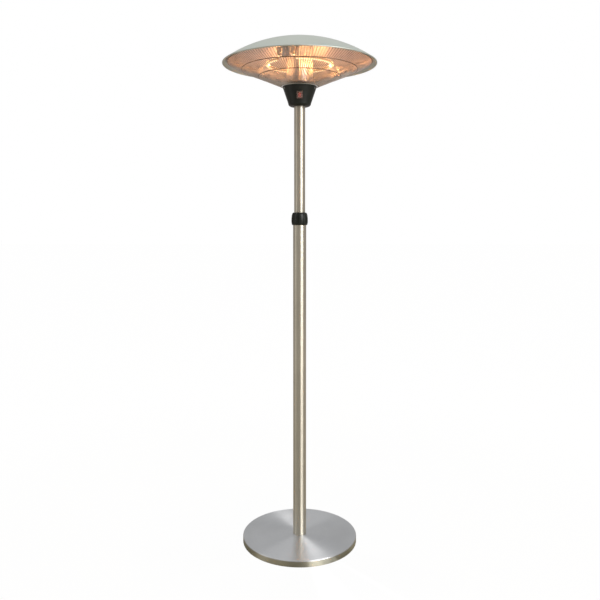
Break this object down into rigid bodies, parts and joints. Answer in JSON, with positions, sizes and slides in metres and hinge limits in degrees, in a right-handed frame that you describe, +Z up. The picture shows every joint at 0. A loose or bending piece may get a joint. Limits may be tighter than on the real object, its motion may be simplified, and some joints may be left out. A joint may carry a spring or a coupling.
{
  "type": "outdoor patio heater",
  "caption": "Free-standing electric patio heater: weighted round foot, telescopic steel pole with twist clamp, and a wire-guarded ring lamp under a dished hood.",
  "frame": {"origin": "on the floor, under the axis of the pole", "axes": "+Z up along the pole, -Y the front where the switch is, +X to the right seen from the front"},
  "size_m": [0.6006, 0.6006, 2.0053],
  "materials": {
    "brushed_steel": "satin brushed stainless steel",
    "plain_steel": "zinc-plated steel",
    "guard_wire": "bright plated wire",
    "hood_aluminium": "satin anodised, pale grey-green",
    "polished_aluminium": "polished",
    "black_plastic": "satin moulded",
    "black_enamel": "heat-proof enamel",
    "grey_nylon": "moulded nylon",
    "rubber": "matte",
    "ballast": "cast concrete",
    "rocker_red": "translucent red, lit from behind",
    "boot_clear": "clear silicone",
    "ceramic": "unglazed steatite",
    "quartz": "clear quartz, glowing",
    "filament": "tungsten coil at working heat"
  },
  "bodies": {
    "stand": {"foot_cover": "brushed_steel", "foot_pan": "plain_steel", "foot_ballast": "ballast", "cable_gland": "rubber", "pole_plug": "plain_steel", "pole_bolt": "plain_steel", "pole_bolt_washer": "plain_steel", "foot_pad_1": "rubber", "foot_pad_2": "rubber", "foot_pad_3": "rubber", "foot_pad_4": "rubber", "lower_tube": "brushed_steel", "clamp_body": "grey_nylon"},
    "collar": {"clamp_collar": "black_plastic"},
    "mast": {"upper_tube": "brushed_steel", "tail_bush": "grey_nylon", "neck_housing": "black_plastic", "head_carrier": "plain_steel", "neck_screw_1": "plain_steel", "neck_screw_2": "plain_steel", "neck_screw_3": "plain_steel", "neck_screw_4": "plain_steel", "switch_body": "black_plastic", "switch_boot": "boot_clear", "terminal_block": "ceramic", "tilt_switch": "black_plastic", "thermal_cutout": "black_enamel", "trim_ring": "polished_aluminium", "heat_ring": "black_enamel", "centre_column": "polished_aluminium", "hood_liner": "polished_aluminium", "hood_shell": "hood_aluminium", "tie_rod": "plain_steel", "hood_washer": "plain_steel", "cap_nut": "polished_aluminium", "lamp_tube": "quartz", "lamp_filament": "filament", "lamp_cap_1": "ceramic", "lamp_cap_2": "ceramic", "lamp_bracket": "plain_steel", "lamp_clip_1": "plain_steel", "lamp_clip_2": "plain_steel", "lamp_clip_3": "plain_steel", "guard": "guard_wire", "guard_hook_1": "guard_wire", "guard_hook_2": "guard_wire", "guard_hook_3": "guard_wire"},
    "rocker": {"switch_rocker": "rocker_red"}
  },
  "joints": [
    {"name": "mast_slide", "type": "slide", "parent": "stand", "child": "mast", "axis": [0, 0, 1], "range_m": [-0.39, 0.04]},
    {"name": "collar_turn", "type": "hinge", "parent": "stand", "child": "collar", "pos_m": [0, 0, 1.2939], "axis": [0, 0, 1], "range_deg": [0, 120]},
    {"name": "rocker_tilt", "type": "hinge", "parent": "mast", "child": "rocker", "pos_m": [0, -0.0535, 1.7689], "axis": [1, 0, 0], "range_deg": [-20, 0]}
  ]
}
